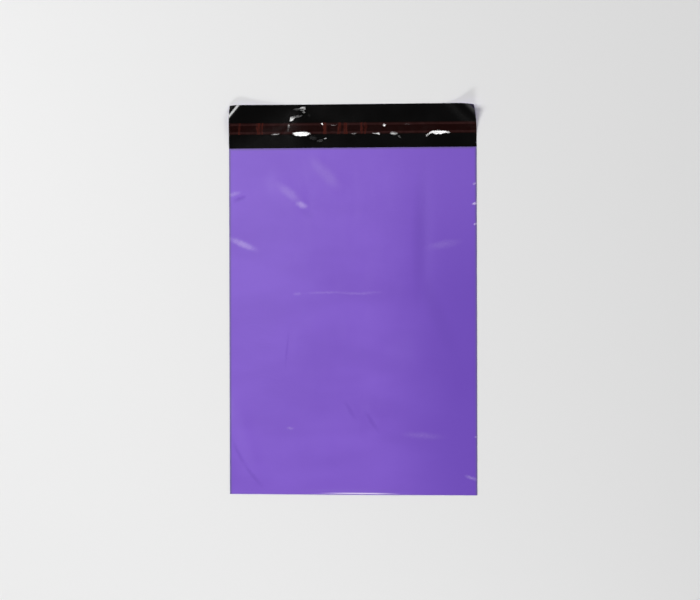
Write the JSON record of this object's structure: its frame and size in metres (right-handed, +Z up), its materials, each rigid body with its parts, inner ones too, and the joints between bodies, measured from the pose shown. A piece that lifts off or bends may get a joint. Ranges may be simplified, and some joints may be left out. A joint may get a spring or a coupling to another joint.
{
  "type": "poly mailer bag",
  "caption": "Flat film mailing bag with side seams, an open mouth and a fold-over flap that carries a peel-and-seal strip.",
  "frame": {"origin": "on the floor under the middle of the bag's length and width, as it lies on its back with the flap open", "axes": "+X across the bag to its right side seen from the front, +Y from the bottom fold to the flap's free edge, +Z up out of the front panel"},
  "size_m": [0.25, 0.394, 0.0121],
  "materials": {
    "purple_film": "soft satin polyethylene film, purple outside and black inside",
    "hot_melt": "clear hot-melt adhesive over black film",
    "red_liner": "dark red see-through silicone-coated film"
  },
  "bodies": {
    "root": {"bag_film": "purple_film", "adhesive_strip": "hot_melt", "release_liner": "red_liner"}
  },
  "joints": []
}
